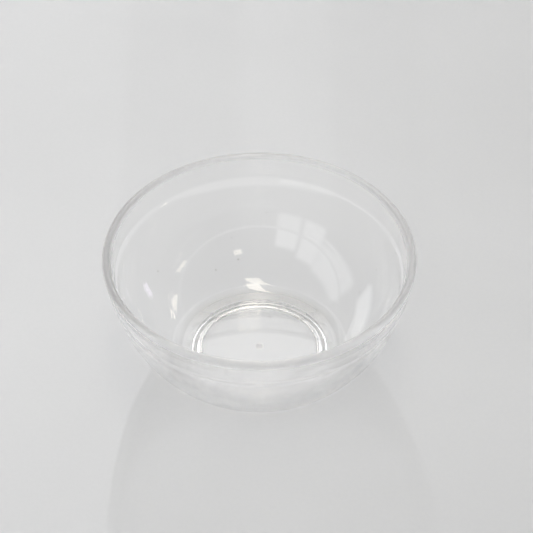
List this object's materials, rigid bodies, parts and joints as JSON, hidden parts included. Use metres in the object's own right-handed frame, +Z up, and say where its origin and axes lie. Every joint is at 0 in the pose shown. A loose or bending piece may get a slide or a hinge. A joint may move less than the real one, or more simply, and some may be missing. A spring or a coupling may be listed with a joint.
{
  "type": "tinting bowl",
  "caption": "Small round clear plastic bowl with a flared rim collar, spherical wall, thin flat floor and foot ring, for mixing tint.",
  "frame": {"origin": "on the bowl's axis, in the plane that the foot ring stands on", "axes": "+Z up along the bowl's axis; X and Y are any two directions across it"},
  "size_m": [0.06, 0.06, 0.0271],
  "materials": {
    "clear_plastic": "clear, colourless and glossy"
  },
  "bodies": {
    "root": {"bowl": "clear_plastic"}
  },
  "joints": []
}
